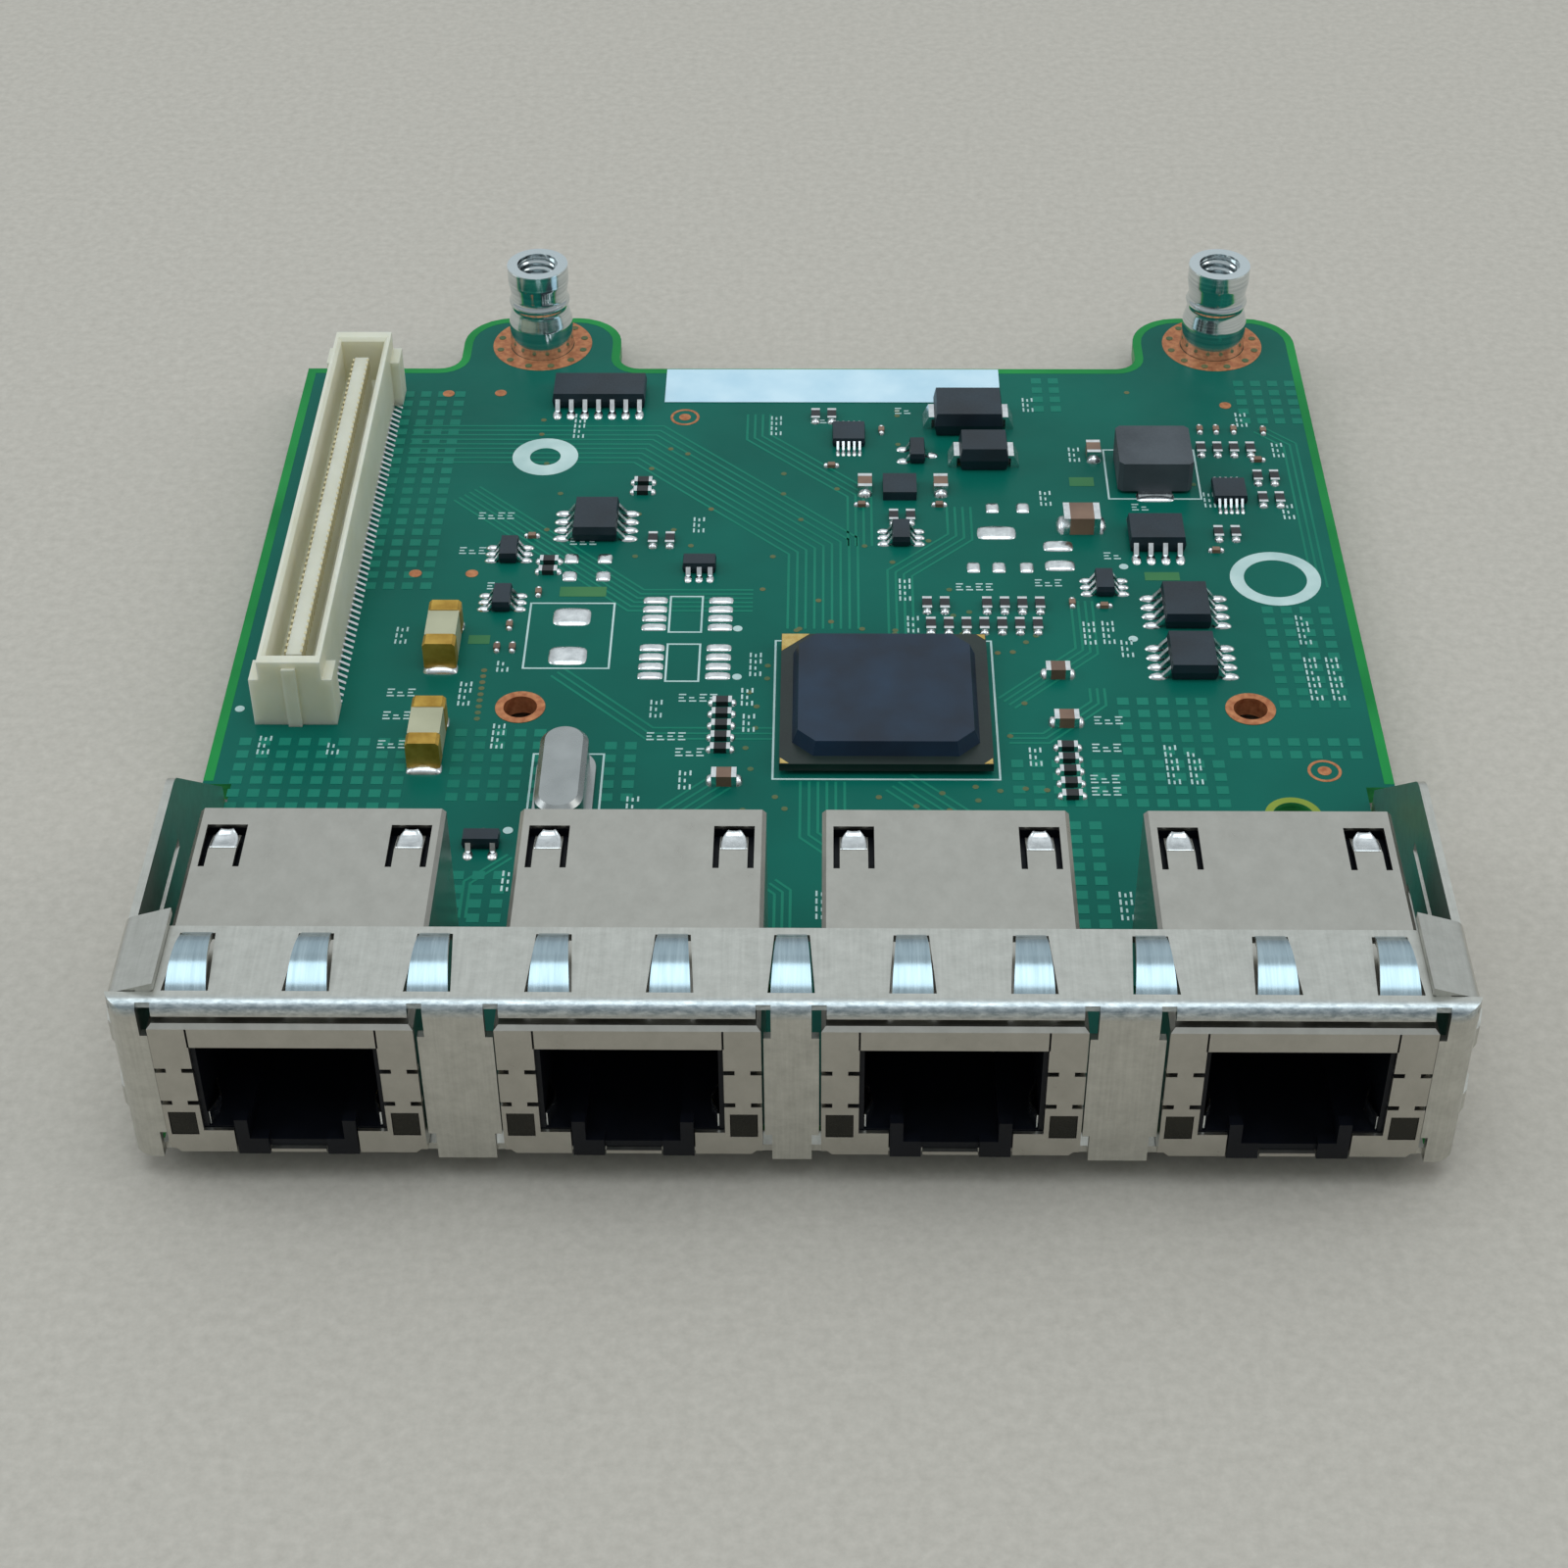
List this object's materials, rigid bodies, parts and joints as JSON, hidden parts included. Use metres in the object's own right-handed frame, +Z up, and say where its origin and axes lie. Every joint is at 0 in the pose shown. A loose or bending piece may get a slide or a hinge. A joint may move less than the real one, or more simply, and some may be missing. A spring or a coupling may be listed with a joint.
{
  "type": "mezzanine network card",
  "caption": "Server daughter card: circuit board with a row of network jacks in a sprung sheet-metal bracket, a board connector along one side and waisted fixing posts at the rear.",
  "frame": {"origin": "middle of the card's outline in plan, level with the lowest points of its underside", "axes": "+X along the row of jacks, +Y from the jacks to the fixing posts, +Z up from the board"},
  "size_m": [0.0942, 0.1098, 0.0177],
  "materials": {
    "soldermask_board": "solder mask over laminate",
    "plated_steel_sheet": "satin plated sheet",
    "nickel_shield": "satin nickel",
    "black_housing": "moulded",
    "gold_contact": "gold plated",
    "light_pipe": "smoked clear",
    "potting": "potted",
    "ivory_polymer": "natural moulding",
    "tinned_lead": "tinned",
    "bright_plated_post": "bright plating",
    "green_laminate": "dark laminate",
    "mould_compound": "moulded",
    "crystal_can": "satin nickel",
    "white_ceramic": "glossy",
    "gold_cap": "gold plated",
    "ferrite": "moulded powder",
    "capacitor_ceramic": "fired",
    "resistor_film": "glazed"
  },
  "bodies": {
    "root": {"circuit_board": "soldermask_board", "io_bracket": "plated_steel_sheet", "jack_shield_1": "nickel_shield", "jack_shield_2": "nickel_shield", "jack_shield_3": "nickel_shield", "jack_shield_4": "nickel_shield", "jack_housing_1": "black_housing", "jack_housing_2": "black_housing", "jack_housing_3": "black_housing", "jack_housing_4": "black_housing", "jack_contacts_1": "gold_contact", "jack_contacts_2": "gold_contact", "jack_contacts_3": "gold_contact", "jack_contacts_4": "gold_contact", "jack_light_pipes_1": "light_pipe", "jack_light_pipes_2": "light_pipe", "jack_light_pipes_3": "light_pipe", "jack_light_pipes_4": "light_pipe", "jack_magnetics_1": "potting", "jack_magnetics_2": "potting", "jack_magnetics_3": "potting", "jack_magnetics_4": "potting", "mezzanine_housing": "ivory_polymer", "mezzanine_contacts": "tinned_lead", "logic_leads": "tinned_lead", "so8_leads": "tinned_lead", "msop_leads": "tinned_lead", "sot_leads": "tinned_lead", "inductor_pads": "tinned_lead", "diode_leads": "tinned_lead", "capacitor_ends": "tinned_lead", "resistor_ends": "tinned_lead", "controller_balls": "tinned_lead", "post_left": "bright_plated_post", "post_right": "bright_plated_post", "controller_substrate": "green_laminate", "controller_cap": "mould_compound", "logic_body": "mould_compound", "so8_bodies": "mould_compound", "msop_bodies": "mould_compound", "sot_bodies": "mould_compound", "qfn_body": "mould_compound", "diode_bodies": "mould_compound", "crystal_can": "crystal_can", "crystal_base": "crystal_can", "fuse_bodies": "white_ceramic", "fuse_caps": "gold_cap", "inductor_core": "ferrite", "capacitor_bodies": "capacitor_ceramic", "resistor_bodies": "resistor_film"}
  },
  "joints": []
}
